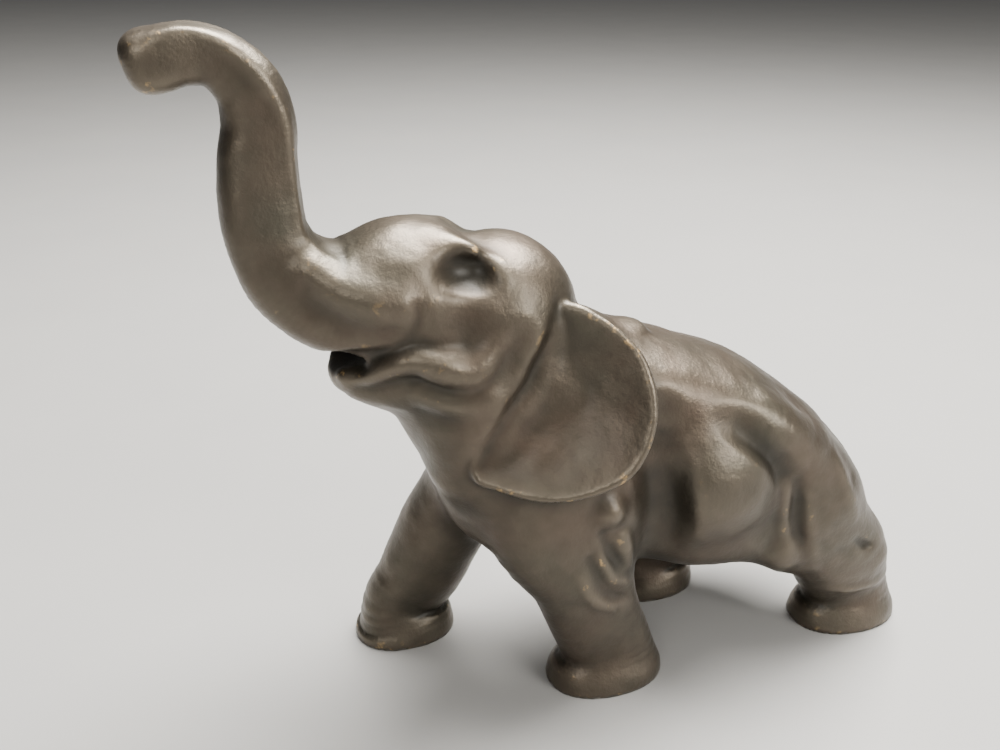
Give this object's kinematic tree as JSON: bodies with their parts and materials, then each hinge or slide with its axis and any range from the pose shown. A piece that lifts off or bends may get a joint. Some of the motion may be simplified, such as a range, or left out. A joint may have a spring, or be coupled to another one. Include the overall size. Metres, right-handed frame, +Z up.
{
  "type": "bronze elephant sculpture",
  "caption": "Small cast bronze elephant, striding with its trunk raised and curled forward, a sloping back, spread ears and flat-soled feet.",
  "frame": {"origin": "on the floor under the middle of the bounding box", "axes": "+Z up, -Y the way the animal faces, +X its left side"},
  "size_m": [0.0593, 0.1722, 0.1503],
  "materials": {
    "bronze": "dark brown patinated cast bronze, rubbed golden on its edges"
  },
  "bodies": {
    "root": {"elephant": "bronze"}
  },
  "joints": []
}
